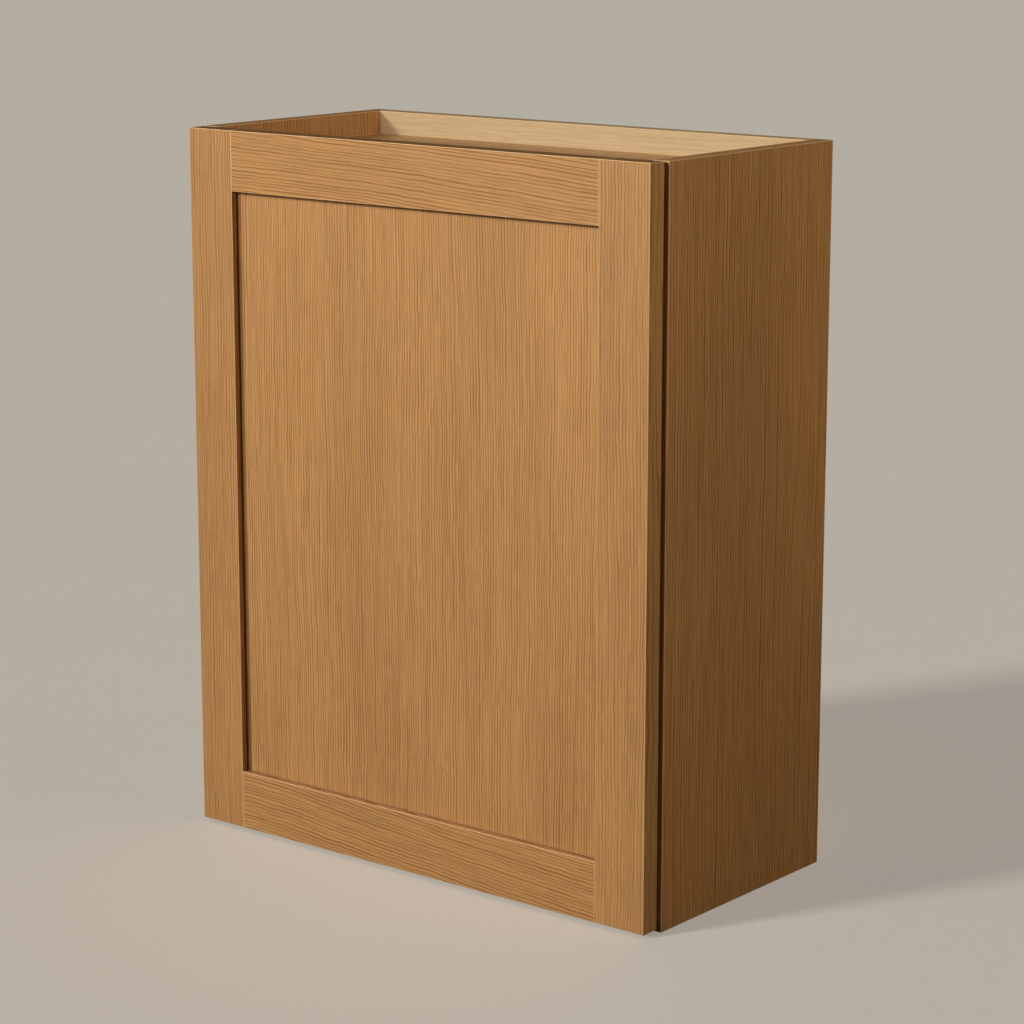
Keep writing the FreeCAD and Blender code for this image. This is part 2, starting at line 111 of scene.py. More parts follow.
class CabinetWoodSettings(bpy.types.PropertyGroup):
    """Colours and scale of the boards' grain."""

    oak_early: colour_setting("Oak, early wood", "Light wood between the growth lines", (0.562, 0.298, 0.110))
    oak_late: colour_setting("Oak, late wood", "Darker wood of the growth lines", (0.260, 0.094, 0.014))
    oak_pore: colour_setting("Oak, pores", "Open pores filled with finish", (0.155, 0.065, 0.018))
    # Painted highlight along every edge, partly the thinner finish there.
    edge_highlight: colour_setting("Arris", "Thin finish along every edge", (0.90, 0.610, 0.320))
    maple_early: colour_setting("Maple, early wood", "Pale wood of the hang rails", (0.562, 0.415, 0.228))
    maple_late: colour_setting("Maple, late wood", "Faint lines of the hang rails", (0.478, 0.331, 0.168))
    beech: colour_setting("Beech", "Bare wood of the dowels", (0.60, 0.400, 0.220))
    ring_spacing: length_setting("Growth line spacing", "Usual distance between two growth lines", 0.0038)
    drift: length_setting("Drift", "How far a growth line wanders sideways", 0.016)
    ripple: length_setting("Ripple", "Height of the short waves along a growth line", 0.0035)
    # Width and strength of the painted highlight along every edge.
    edge_highlight_width: length_setting("Arris width", "Width of the lighter line along every edge", 0.0014)
    edge_highlight_strength: amount_setting("Arris strength", "How much lighter the edges are", 0.95)
    # Reach of the painted shade in inside corners.
    shaded_corner_reach: length_setting("Corner width", "How far dark finish reaches out of a corner", 0.006)
    # Width of the painted shadow at the foot of the frame's inner edges by the panel.
    seam_width: length_setting("Seam width", "Dark foot of the frame's inner edge by the panel", 0.003)


class CabinetFittingSettings(bpy.types.PropertyGroup):
    """Colours and sizes of the metal and rubber fittings."""

    nickel: colour_setting("Nickel plating", "Pressed hinge parts", (0.76, 0.74, 0.70))
    zinc: colour_setting("Zinc plating", "Screws and shelf pegs", (0.68, 0.69, 0.69))
    rubber: colour_setting("Bumper", "Soft bumpers on the back of the door", (0.52, 0.51, 0.47))
    peg_radius: length_setting("Peg radius", "Radius of a shelf peg's pin", 0.00245)
    peg_pin: length_setting("Peg pin", "Length of a shelf peg's pin in its hole", 0.009)
    peg_plate_drop: length_setting("Peg plate", "How far a peg's plate hangs below its pin", 0.008)
    peg_width: length_setting("Peg width", "Width of a shelf peg's bent plate", 0.012)
    peg_reach: length_setting("Peg reach", "How far a shelf peg's ledge carries the shelf", 0.0094)
    peg_sheet: length_setting("Peg sheet", "Thickness of a shelf peg's plate", 0.0014)


class CabinetStageSettings(bpy.types.PropertyGroup):
    """Floor, lights and camera."""

    floor: colour_setting("Floor", "Plain pale floor", (0.66, 0.62, 0.55))
    glow: colour_setting("Floor glow", "Evens out the floor, and lights nothing", (0.30, 0.28, 0.25))
    bounce: colour_setting("Bounce", "Floor's colour as the cabinet reflects it", (0.16, 0.105, 0.060))
    room: colour_setting("Room", "Soft light from all round", (1.0, 0.82, 0.62))
    backdrop: colour_setting("Backdrop", "What the camera sees past the floor", (0.456, 0.418, 0.361))
    room_strength: amount_setting("Room strength", "Strength of the light all round", 0.06)
    key_strength: amount_setting("Key strength", "Strength of the main soft light", 1.68)
    near_power: amount_setting("Near light power", "Light by the door, in watts", 9.8)
    side_power: amount_setting("Side light power", "Warm light beside the cabinet, in watts", 15.5)
    back_power: amount_setting("Back light power", "Light behind the cabinet, in watts", 26.0)
    target: FloatVectorProperty(
        name="Target",
        description="Point that the camera looks at",
        default=(0.010, 0.003, 0.364),
        subtype="XYZ",
    )
    azimuth: angle_setting("Azimuth", "Camera's turn to the right of the door", 39.0)
    elevation: angle_setting("Elevation", "Camera's height above the target", 12.2)
    distance: length_setting("Distance", "Camera to target", 3.205)
    lens: amount_setting("Lens", "Focal length on a 36 mm sensor, in millimetres", 106.7)


# ---- node helpers ----
def node(tree, kind, inputs=None, **settings):
    """A shader node. Each input is a value, or an output socket to link from."""
    made = tree.nodes.new(kind)
    for name, value in settings.items():
        setattr(made, name, value)
    for name, value in (inputs or {}).items():
        if isinstance(value, bpy.types.NodeSocket):
            tree.links.new(value, made.inputs[name])
        else:
            made.inputs[name].default_value = value
    return made


def maths(tree, operation, a, b=0.0):
    return node(tree, "ShaderNodeMath", {0: a, 1: b}, operation=operation).outputs[0]


def vector_maths(tree, operation, a, b):
    return node(tree, "ShaderNodeVectorMath", {0: a, 1: b}, operation=operation).outputs["Vector"]


def scaled(tree, vector, scale):
    return node(tree, "ShaderNodeVectorMath", {0: vector, "Scale": scale}, operation="SCALE").outputs[0]


def absolute(tree, vector):
    return node(tree, "ShaderNodeVectorMath", {0: vector}, operation="ABSOLUTE").outputs["Vector"]


def parts_of(tree, vector):
    """The X, Y and Z of a vector."""
    return node(tree, "ShaderNodeSeparateXYZ", {0: vector}).outputs


def grey(tree, value):
    channels = {"Red": value, "Green": value, "Blue": value}
    return node(tree, "ShaderNodeCombineColor", channels).outputs["Color"]


def noise(tree, vector, lumps, detail=2.0, roughness=0.5):
    """Noise with so many lumps to the metre along each axis."""
    wanted = {"Scale": 1.0, "Detail": detail, "Roughness": roughness}
    wanted["Vector"] = vector_maths(tree, "MULTIPLY", vector, lumps)
    return node(tree, "ShaderNodeTexNoise", wanted)


def ramp(tree, value, low, high, to_low=0.0, to_high=1.0, smooth=True):
    """Maps low..high to to_low..to_high, clamped."""
    kind = "SMOOTHSTEP" if smooth else "LINEAR"
    wanted = {"Value": value, "From Min": low, "From Max": high, "To Min": to_low, "To Max": to_high}
    return node(tree, "ShaderNodeMapRange", wanted, interpolation_type=kind).outputs["Result"]


def mix_colour(tree, factor, a, b, blend="MIX"):
    made = node(tree, "ShaderNodeMix", data_type="RGBA", blend_type=blend)
    for socket, value in ((made.inputs[0], factor), (made.inputs[6], a), (made.inputs[7], b)):
        if isinstance(value, bpy.types.NodeSocket):
            tree.links.new(value, socket)
        else:
            socket.default_value = value
    return made.outputs[2]


def new_group(name, inputs, outputs):
    """An empty node group, and the sockets inside it. Inputs are (name, kind, default) rows."""
    group = bpy.data.node_groups.new(name, "ShaderNodeTree")
    for label, kind, default in inputs:
        socket = group.interface.new_socket(name=label, in_out="INPUT", socket_type=f"NodeSocket{kind}")
        if default is not None:
            socket.default_value = default
    for label, kind in outputs:
        group.interface.new_socket(name=label, in_out="OUTPUT", socket_type=f"NodeSocket{kind}")
    return group, group.nodes.new("NodeGroupInput").outputs, group.nodes.new("NodeGroupOutput").inputs


def group_node(tree, name, build, inputs):
    """The outputs of a node that uses a group, which is built when it is first asked for."""
    group = bpy.data.node_groups.get(name) or build(name)
    return node(tree, "ShaderNodeGroup", inputs, node_tree=group).outputs


# Lumps to the metre of each pattern in the wood: twice across the grain, then along it.
DRIFT_LUMPS = (5.0, 5.0, 2.6)
RIPPLE_LUMPS = (24.0, 24.0, 30.0)
SPACING_LUMPS = (80.0, 80.0, 1.5)
BREAK_LUMPS = (150.0, 150.0, 5.0)
FIBRE_LUMPS = (820.0, 820.0, 8.0)
PORE_LUMPS = (900.0, 900.0, 16.0)
TONE_LUMPS = (7.0, 7.0, 1.3)
RING_LEAN = 0.35  # how much the growth rings lean through the board's thickness
SPACING_CHANGE = 1.75  # how many line spacings a line may be pushed along, in crowded patches
HAIR_STRENGTH = 0.14
LINE_DEPTH, PORE_DEPTH, HAIR_DEPTH = -0.35, -0.8, -0.3  # shares of the relief's full depth


def board_grain(name):
    """Growth lines, fibres and pores of a board whose grain runs along the vector's Z."""
    group, given, out = new_group(
        name,
        [
            ("Vector", "Vector", None),
            ("Early Wood", "Color", (0.5, 0.3, 0.13, 1.0)),
            ("Late Wood", "Color", (0.3, 0.15, 0.05, 1.0)),
            ("Pore", "Color", (0.2, 0.1, 0.03, 1.0)),
            ("Ring Spacing", "Float", 0.005),
            ("Drift", "Float", 0.015),
            ("Ripple", "Float", 0.002),
            ("Line Strength", "Float", 0.6),
            ("Pore Strength", "Float", 0.5),
        ],
        [("Color", "Color"), ("Roughness", "Float"), ("Height", "Float")],
    )

    def wander(vector, lumps, detail, reach):
        """Pushes a vector about by up to half the reach, either way."""
        push = noise(group, vector, lumps, detail=detail).outputs["Color"]
        push = vector_maths(group, "SUBTRACT", push, (0.5, 0.5, 0.5))
        return vector_maths(group, "ADD", vector, scaled(group, push, reach))

    warped = wander(given["Vector"], DRIFT_LUMPS, 2.5, given["Drift"])
    warped = wander(warped, RIPPLE_LUMPS, 1.5, given["Ripple"])
    across = parts_of(group, warped)
    uneven = noise(group, warped, SPACING_LUMPS, detail=1.5).outputs["Fac"]
    depth = maths(group, "MULTIPLY", across["Y"], RING_LEAN)
    place = maths(group, "DIVIDE", maths(group, "ADD", across["X"], depth), given["Ring Spacing"])
    place = maths(group, "ADD", place, maths(group, "MULTIPLY", uneven, SPACING_CHANGE))
    # A growth line darkens slowly and stops short.
    phase = maths(group, "FRACT", place)
    line = maths(group, "MULTIPLY", ramp(group, phase, 0.50, 0.84), ramp(group, phase, 0.92, 1.0, 1.0, 0.0))
    broken = noise(group, warped, BREAK_LUMPS, detail=2.0).outputs["Fac"]
    line = maths(group, "MULTIPLY", line, ramp(group, broken, 0.36, 0.60, 0.44, 1.0))
    fibre = noise(group, warped, FIBRE_LUMPS, detail=2.5, roughness=0.6).outputs["Fac"]
    hair = ramp(group, fibre, 0.40, 0.62, 0.0, 1.0)
    pores = ramp(group, noise(group, warped, PORE_LUMPS, detail=1.0).outputs["Fac"], 0.585, 0.70)
    cloud = noise(group, given["Vector"], TONE_LUMPS, detail=2.0).outputs["Fac"]
    tone = ramp(group, cloud, 0.3, 0.7, 0.93, 1.07)
    tone = maths(group, "MULTIPLY", tone, ramp(group, fibre, 0.36, 0.64, 1.07, 0.94))
    blend = maths(group, "MULTIPLY", line, given["Line Strength"])
    wood = mix_colour(group, blend, given["Early Wood"], given["Late Wood"])
    wood = mix_colour(group, maths(group, "MULTIPLY", hair, HAIR_STRENGTH), wood, given["Late Wood"])
    wood = mix_colour(group, maths(group, "MULTIPLY", pores, given["Pore Strength"]), wood, given["Pore"])
    group.links.new(mix_colour(group, 1.0, wood, grey(group, tone), blend="MULTIPLY"), out["Color"])
    group.links.new(ramp(group, hair, 0.0, 1.0, 0.38, 0.48, smooth=False), out["Roughness"])
    line_relief = maths(group, "MULTIPLY", line, LINE_DEPTH)
    pore_relief = maths(group, "MULTIPLY", pores, PORE_DEPTH)
    hair_relief = maths(group, "MULTIPLY", hair, HAIR_DEPTH)
    relief = maths(group, "ADD", maths(group, "ADD", line_relief, pore_relief), hair_relief)
    group.links.new(relief, out["Height"])
    return group


def board_edges(name):
    """Masks for the painted highlight on a board's outer edges, and for painted shade on its faces that point
    up or down.
    """
    group, given, out = new_group(name, [("Width", "Float", 0.001)], [("Arris", "Float"), ("End", "Float")])

    def size_along_axes(normal):
        turned = node(
            group,
            "ShaderNodeVectorTransform",
            {0: normal},
            vector_type="NORMAL",
            convert_from="WORLD",
            convert_to="OBJECT",
        )
        return parts_of(group, absolute(group, turned.outputs[0]))

    bevel = node(group, "ShaderNodeBevel", {"Radius": given["Width"]}, samples=6)
    rounded = size_along_axes(bevel.outputs["Normal"])
    widest = maths(group, "MAXIMUM", maths(group, "MAXIMUM", rounded["X"], rounded["Y"]), rounded["Z"])
    group.links.new(ramp(group, widest, 0.995, 0.90), out["Arris"])
    flat = size_along_axes(node(group, "ShaderNodeNewGeometry").outputs["True Normal"])
    group.links.new(ramp(group, flat["Z"], 0.90, 0.98), out["End"])
    return group


def painted_corner_shade(name):
    """A mask that is 1 deep in inside corners and narrow gaps, for painted shade where little light gets in.
    """
    group, given, out = new_group(name, [("Reach", "Float", 0.01)], [("Mask", "Float")])
    openness = node(group, "ShaderNodeAmbientOcclusion", {"Distance": given["Reach"]}, samples=8)
    group.links.new(ramp(group, openness.outputs["AO"], 0.72, 0.22), out["Mask"])
    return group


# Lumps to the metre along X, Y and Z of the plating's clouding and of its rub marks.
CLOUD_LUMPS = (160.0, 160.0, 160.0)
RUB_LUMPS = (2600.0, 300.0, 300.0)


def plated_surface(name):
    """Slight clouding and fine rub marks of plated, pressed steel."""
    group, given, out = new_group(
        name,
        [
            ("Vector", "Vector", None),
            ("Metal", "Color", (0.6, 0.6, 0.6, 1.0)),
            ("Dullness", "Float", 0.3),
        ],
        [("Color", "Color"), ("Roughness", "Float"), ("Height", "Float")],
    )
    cloud = noise(group, given["Vector"], CLOUD_LUMPS, detail=3.0).outputs["Fac"]
    rubs = noise(group, given["Vector"], RUB_LUMPS, detail=2.0).outputs["Fac"]
    shade = grey(group, ramp(group, cloud, 0.3, 0.7, 0.93, 1.03))
    group.links.new(mix_colour(group, 1.0, given["Metal"], shade, blend="MULTIPLY"), out["Color"])
    clouded = ramp(group, cloud, 0.3, 0.7, -0.06, 0.08)
    rubbed = ramp(group, rubs, 0.45, 0.7, 0.0, 0.12)
    spread = maths(group, "ADD", clouded, rubbed)
    group.links.new(maths(group, "ADD", given["Dullness"], spread), out["Roughness"])
    group.links.new(rubs, out["Height"])
    return group


# ---- materials ----
def new_material(name):
    material = bpy.data.materials.new(name)
    material.use_nodes = True
    tree = material.node_tree
    tree.nodes.clear()
    shader = node(tree, "ShaderNodeBsdfPrincipled")
    output = node(tree, "ShaderNodeOutputMaterial")
    tree.links.new(shader.outputs["BSDF"], output.inputs["Surface"])
    return material, tree, shader


def solid(colour, share=1.0):
    """An opaque colour, darkened to a share of itself."""
    return (*(channel * share for channel in colour), 1.0)


BLACK = solid((0.0, 0.0, 0.0))
QUARTER = math.pi / 2
# Turns that lay the grain along an axis, with the growth lines stepping across the board's wide face.
GRAIN_TURN = {
    "upright": (0.0, 0.0, 0.0),
    "upright_side": (0.0, 0.0, QUARTER),
    "across": (0.0, QUARTER, 0.0),
    "level": (QUARTER, QUARTER, 0.0),
}
SEED_STEP = Vector((0.71, 0.37, 1.93))  # from one board's place in the wood to the next's
PANEL_SLACK = 0.0005  # how far the seam's mask reaches past the panel's edges
FRONT_FADE = (0.001, 0.0004)  # behind the panel's face: where the mask of the door's front ends and is full
SEAM_FADE = 0.0004  # half the width of the seam's front edge
# Painted shade in the inside corners in front of the door's panel, and a painted shadow in the seam round it.
CORNER_SHADE_STRENGTH = 0.65
CORNER_SHADE_TONE = 0.55  # share of the late wood's colour in the inside corners
SEAM_SHADOW_TONE = 0.12  # and in the seam round the panel


def before_panel(tree, place):
    """A mask for what stands in front of the door panel's face."""
    depth = parts_of(tree, place)["Y"]
    end, full = FRONT_FADE
    return ramp(tree, depth, PANEL_FRONT + end, PANEL_FRONT + full)


def panel_seam(tree, place):
    """A mask for a painted shadow at the foot of the door frame's inner edges, by the panel."""
    low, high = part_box("door_panel")
    middle, half = (low + high) / 2, (high - low) / 2
    offset = parts_of(tree, absolute(tree, vector_maths(tree, "SUBTRACT", place, middle)))
    beside = ramp(tree, offset["X"], half.x + PANEL_SLACK, half.x)
    level = ramp(tree, offset["Z"], half.z + PANEL_SLACK, half.z)
    start = PANEL_FRONT - bpy.context.scene.cabinet_wood.seam_width
    behind_start = ramp(tree, parts_of(tree, place)["Y"], start - SEAM_FADE, start + SEAM_FADE)
    foot = maths(tree, "MULTIPLY", behind_start, before_panel(tree, place))
    return maths(tree, "MULTIPLY", foot, maths(tree, "MULTIPLY", beside, level))


def wood_material(
    name,
    early,
    late,
    pore,
    along,
    seed,
    lines=0.75,
    pores=0.18,
    spacing=1.0,
    slope=0.0,
    drift=1.0,
    ripple=1.0,
    ends=0.0,
    seam=0.0,
    shade_corners=False,
):
    """Lacquered wood with its grain along one axis. The seed moves the pattern, so no two boards match.

    Spacing, drift and ripple are shares of the settings. The other amounts set painted shade: darker faces
    that point up or down, a shadow at the foot of the edges round the door's panel, and, where chosen, shade
    in the inside corners in front of that panel. Every edge carries a painted highlight, partly the thinner
    finish there.
    """
    wood = bpy.context.scene.cabinet_wood
    material, tree, shader = new_material(name)
    place = node(tree, "ShaderNodeTexCoord").outputs["Object"]
    turn = Vector(GRAIN_TURN[along])
    turn.y += slope
    laid = {"Vector": place, "Rotation": turn, "Location": SEED_STEP * seed}
    wanted = {
        "Vector": node(tree, "ShaderNodeMapping", laid).outputs["Vector"],
        "Early Wood": solid(early),
        "Late Wood": solid(late),
        "Pore": solid(pore),
        "Ring Spacing": wood.ring_spacing * spacing,
        "Drift": wood.drift * drift,
        "Ripple": wood.ripple * ripple,
        "Line Strength": lines,
        "Pore Strength": pores,
    }
    grain = group_node(tree, "Board grain", board_grain, wanted)
    edges = group_node(tree, "Board edges", board_edges, {"Width": wood.edge_highlight_width})
    # Painted shade: faces that point up or down are darkened towards the pores' colour.
    level_shade = maths(tree, "MULTIPLY", edges["End"], ends)
    colour = mix_colour(tree, level_shade, grain["Color"], solid(pore))
    if shade_corners:
        # Painted shade in the inside corners in front of the door's panel.
        corner = group_node(tree, "Painted corner shade", painted_corner_shade, {"Reach": wood.shaded_corner_reach})
        strength = maths(tree, "MULTIPLY", before_panel(tree, place), CORNER_SHADE_STRENGTH)
        shade = maths(tree, "MULTIPLY", corner["Mask"], strength)
        colour = mix_colour(tree, shade, colour, solid(late, CORNER_SHADE_TONE))
    if seam:
        # Painted shadow at the foot of the frame's inner edges by the panel.
        foot = maths(tree, "MULTIPLY", panel_seam(tree, place), seam)
        colour = mix_colour(tree, foot, colour, solid(late, SEAM_SHADOW_TONE))
    # Painted highlight along every edge, partly the thinner finish there.
    edge = maths(tree, "MULTIPLY", edges["Arris"], wood.edge_highlight_strength)
    tree.links.new(mix_colour(tree, edge, colour, solid(wood.edge_highlight)), shader.inputs["Base Color"])
    tree.links.new(grain["Roughness"], shader.inputs["Roughness"])
    bumps = {"Height": grain["Height"], "Strength": 0.22, "Distance": 0.0003}
    relief = node(tree, "ShaderNodeBump", bumps)
    tree.links.new(relief.outputs["Normal"], shader.inputs["Normal"])
    shader.inputs["Coat Weight"].default_value = 0.12
    shader.inputs["Coat Roughness"].default_value = 0.30
    shader.inputs["Specular IOR Level"].default_value = 0.32
    return material


def oak_material(name, along, seed, **changes):
    wood = bpy.context.scene.cabinet_wood
    return wood_material(name, wood.oak_early, wood.oak_late, wood.oak_pore, along, seed, **changes)


def maple_material(name, seed):
    wood = bpy.context.scene.cabinet_wood
    early, late = wood.maple_early, wood.maple_late
    return wood_material(name, early, late, late, "across", seed, lines=0.35, pores=0.25, spacing=1.7)


# Lumps to the metre of the rubber's bloom and of the floor's mottling.
BLOOM_LUMPS = (420.0, 420.0, 420.0)
MOTTLE_LUMPS = (1.3, 1.3, 1.3)


def plated_material(name, metal, dullness):
    material, tree, shader = new_material(name)
    place = node(tree, "ShaderNodeTexCoord").outputs["Object"]
    wanted = {"Vector": place, "Metal": solid(metal), "Dullness": dullness}
    surface = group_node(tree, "Plated surface", plated_surface, wanted)
    tree.links.new(surface["Color"], shader.inputs["Base Color"])
    tree.links.new(surface["Roughness"], shader.inputs["Roughness"])
    rounded = node(tree, "ShaderNodeBevel", {"Radius": 0.0004}, samples=6).outputs["Normal"]
    bumps = {"Height": surface["Height"], "Strength": 0.08, "Distance": 0.0001, "Normal": rounded}
    relief = node(tree, "ShaderNodeBump", bumps)
    tree.links.new(relief.outputs["Normal"], shader.inputs["Normal"])
    shader.inputs["Metallic"].default_value = 1.0
    return material


def rubber_material(name, colour):
    material, tree, shader = new_material(name)
    place = node(tree, "ShaderNodeTexCoord").outputs["Object"]
    bloom = noise(tree, place, BLOOM_LUMPS, detail=3.0).outputs["Fac"]
    tree.links.new(mix_colour(tree, bloom, solid(colour, 0.8), solid(colour)), shader.inputs["Base Color"])
    tree.links.new(ramp(tree, bloom, 0.3, 0.7, 0.42, 0.6), shader.inputs["Roughness"])
    relief = node(tree, "ShaderNodeBump", {"Height": bloom, "Strength": 0.1, "Distance": 0.0002})
    tree.links.new(relief.outputs["Normal"], shader.inputs["Normal"])
    return material


def floor_material(name, colour, bounce, glow):
    """A plain pale floor that throws little of its light back at the cabinet."""
    material, tree, shader = new_material(name)
    place = node(tree, "ShaderNodeTexCoord").outputs["Object"]
    mottle = noise(tree, place, MOTTLE_LUMPS, detail=4.0).outputs["Fac"]
    seen = node(tree, "ShaderNodeLightPath").outputs["Is Camera Ray"]
    shown = mix_colour(tree, mottle, solid(colour, 0.97), solid(colour))
    tree.links.new(mix_colour(tree, seen, solid(bounce), shown), shader.inputs["Base Color"])
    tree.links.new(mix_colour(tree, seen, BLACK, solid(glow)), shader.inputs["Emission Color"])
    shader.inputs["Emission Strength"].default_value = 1.0
    tree.links.new(ramp(tree, mottle, 0.3, 0.7, 0.75, 0.85), shader.inputs["Roughness"])
    return material


def finish(node_name, material):
    """Gives a board or fitting of the cabinet its finish."""
    for slot in NODES[node_name].material_slots:
        slot.material = material


# ---- new shapes ----
FOLD_ANGLE = math.radians(50.0)  # a sharper turn than this is shaded as a fold
PEG_SINK = 0.0002  # how far a peg's pin starts inside its plate
PEG_ROUNDING = 0.22  # share of the plate's thickness
PIN_ROUNDING = 0.3  # share of the pin's radius
# A bumper's half section, from the middle of its foot: shares of its radius and of its thickness.
DOME = ((0.0, 0.0), (1.0, 0.0), (1.0, 0.42), (0.93, 0.68), (0.74, 0.86), (0.40, 0.97), (0.0, 1.0))


def smooth_piece(name, shape, material, body, slot, *replaced):
    """Turns a shape into a piece that rides on a body in the place of CAD nodes."""
    mesh = bpy.data.meshes.new(name)
    shape.to_mesh(mesh)
    shape.free()
    mesh.materials.append(material)
    mesh.shade_smooth()
    mesh.set_sharp_from_angle(angle=FOLD_ANGLE)
    piece = bpy.data.objects.new(name, mesh)
    bpy.context.collection.objects.link(piece)
    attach(piece, body)
    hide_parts(*replaced)
    return piece


def round_over(shape, edges, radius):
    """Rounds edges of a shape."""
    bmesh.ops.bevel(
        shape,
        geom=edges,
        offset=radius,
        segments=3,
        profile=0.5,
        affect="EDGES",
        clamp_overlap=True,
        material=-1,
    )


def angle_peg(shape, wall, side, row, top):
    """A shelf peg: a plate on the side, bent into a ledge under the shelf, with a pin in the hole."""
    sizes = bpy.context.scene.cabinet_fittings
    sheet, reach, pin_radius = sizes.peg_sheet, sizes.peg_reach, sizes.peg_radius
    foot = top - pin_radius - sizes.peg_plate_drop
    under = top - sheet
    outline = ((0.0, foot), (sheet, foot), (sheet, under), (reach, under), (reach, top), (0.0, top))
    start = row - sizes.peg_width / 2
    peg = bmesh.new()
    corners = [peg.verts.new((wall - side * x, start, z)) for x, z in outline]
    section = peg.faces.new(corners)
    swept = bmesh.ops.extrude_face_region(peg, geom=[section])["geom"]
    moved = [part for part in swept if isinstance(part, bmesh.types.BMVert)]
    bmesh.ops.translate(peg, verts=moved, vec=(0.0, sizes.peg_width, 0.0))
    bmesh.ops.recalc_face_normals(peg, faces=peg.faces)
    round_over(peg, list(peg.edges), sheet * PEG_ROUNDING)
    made = bmesh.ops.create_cone(
        peg, cap_ends=True, segments=24, radius1=pin_radius, radius2=pin_radius, depth=sizes.peg_pin
    )
    pin = made["verts"]
    turn = Matrix.Rotation(side * QUARTER, 3, "Y")
    bmesh.ops.rotate(peg, verts=pin, cent=(0.0, 0.0, 0.0), matrix=turn)
    middle = Vector((wall + side * (sizes.peg_pin / 2 - PEG_SINK), row, top - pin_radius))
    bmesh.ops.translate(peg, verts=pin, vec=middle)
    tip = wall + side * (sizes.peg_pin - PEG_SINK)
    pin_edges = {edge for vert in pin for edge in vert.link_edges}
    rim = [edge for edge in pin_edges if all(abs(vert.co.x - tip) < 1e-5 for vert in edge.verts)]
    round_over(peg, rim, pin_radius * PIN_ROUNDING)
    mesh = bpy.data.meshes.new("peg")
    peg.to_mesh(mesh)
    peg.free()
    shape.from_mesh(mesh)
    bpy.data.meshes.remove(mesh)


def domed_disc(shape, centre, radius, thickness):
    """A soft stop: a disc with a low dome, turned about the Y axis."""
    points = [
        shape.verts.new((centre.x + across * radius, centre.y + along * thickness, centre.z))
        for across, along in DOME
    ]
    edges = [shape.edges.new(pair) for pair in zip(points, points[1:])]
    bmesh.ops.spin(
        shape,
        geom=[*points, *edges],
        cent=centre,
        axis=(0.0, 1.0, 0.0),
        angle=2 * math.pi,
        steps=36,
        use_merge=True,
    )
    bmesh.ops.remove_doubles(shape, verts=shape.verts, dist=1e-6)
    bmesh.ops.recalc_face_normals(shape, faces=shape.faces)


# ---- the cabinet's pieces ----
class CABINET_OT_side_panels(bpy.types.Operator):
    """Upright oak veneer on the two sides"""

    bl_idname = "cabinet.side_panels"
    bl_label = "Side panels"

    def execute(self, context):
        veneer = {"lines": 0.8, "spacing": 1.15, "ripple": 0.5}
        for seed, side in enumerate(SIDES, 3):
            finish(f"side_panel_{side}", oak_material(f"oak_side_{side}", "upright_side", seed, **veneer))
        return {"FINISHED"}


class CABINET_OT_level_panels(bpy.types.Operator):
    """Oak veneer on the top and bottom panels and the back"""

    bl_idname = "cabinet.level_panels"
    bl_label = "Top, bottom and back"

    def execute(self, context):
        finish("top_panel", oak_material("oak_top", "level", 11, lines=0.5))
        finish("bottom_panel", oak_material("oak_bottom", "level", 12, lines=0.5))
        finish("back_panel", oak_material("oak_back", "upright", 13, lines=0.5))
        return {"FINISHED"}


class CABINET_OT_edge_bands(bpy.types.Operator):
    """Oak banding on the front edges of the carcass"""

    bl_idname = "cabinet.edge_bands"
    bl_label = "Edge bands"

    def execute(self, context):
        for seed, side in enumerate(SIDES, 21):
            finish(f"edge_band_{side}", oak_material(f"oak_band_{side}", "upright", seed, lines=0.6))
        for seed, end in enumerate(ENDS, 24):
            finish(f"edge_band_{end}", oak_material(f"oak_band_{end}", "across", seed, lines=0.6))
        return {"FINISHED"}


class CABINET_OT_hang_rails(bpy.types.Operator):
    """Plain maple rails that carry the wall screws"""

    bl_idname = "cabinet.hang_rails"
    bl_label = "Hang rails"

    def execute(self, context):
        for seed, end in enumerate(ENDS, 31):
            finish(f"hang_rail_{end}", maple_material(f"maple_rail_{end}", seed))
        return {"FINISHED"}


class CABINET_OT_shelves(bpy.types.Operator):
    """Oak shelves with banded front edges"""

    bl_idname = "cabinet.shelves"
    bl_label = "Shelves"

    def execute(self, context):
        for seed, level in enumerate(LEVELS, 41):
            finish(f"shelf_{level}", oak_material(f"oak_shelf_{level}", "level", seed, lines=0.5))
            band = oak_material(f"oak_shelf_band_{level}", "across", seed + 3, lines=0.6)
            finish(f"shelf_{level}_edge_band", band)
        return {"FINISHED"}


class CABINET_OT_door(bpy.types.Operator):
    """Solid oak frame with upright stiles and level rails, round a veneered panel"""

    bl_idname = "cabinet.door"
    bl_label = "Door"

    def execute(self, context):
        # Painted shade: darker faces that point up or down on the stiles and top rail, a painted shadow in
        # the seam round the panel, and painted shade in the inside corners in front of it.
        stile = {"lines": 0.62, "ends": 0.7, "seam": 0.9, "shade_corners": True}
        finish("door_stile_hinge_side", oak_material("oak_stile_hinge_side", "upright", 51, **stile))
        finish("door_stile_free_side", oak_material("oak_stile_free_side", "upright", 52, **stile))
        rail = {
            "lines": 0.8,
            "spacing": 0.98,
            "slope": math.radians(-3.0),
            "drift": 1.3,
            "ripple": 0.7,
            "shade_corners": True,
        }
        finish("door_rail_top", oak_material("oak_rail_top", "across", 53, ends=0.7, seam=0.9, **rail))
        finish("door_rail_bottom", oak_material("oak_rail_bottom", "across", 54, seam=0.5, **rail))
        # The panel too gets painted shade in its inside corners.
        panel = {"lines": 0.78, "spacing": 0.9, "shade_corners": True}
        finish("door_panel", oak_material("oak_door_panel", "upright", 55, **panel))
        return {"FINISHED"}


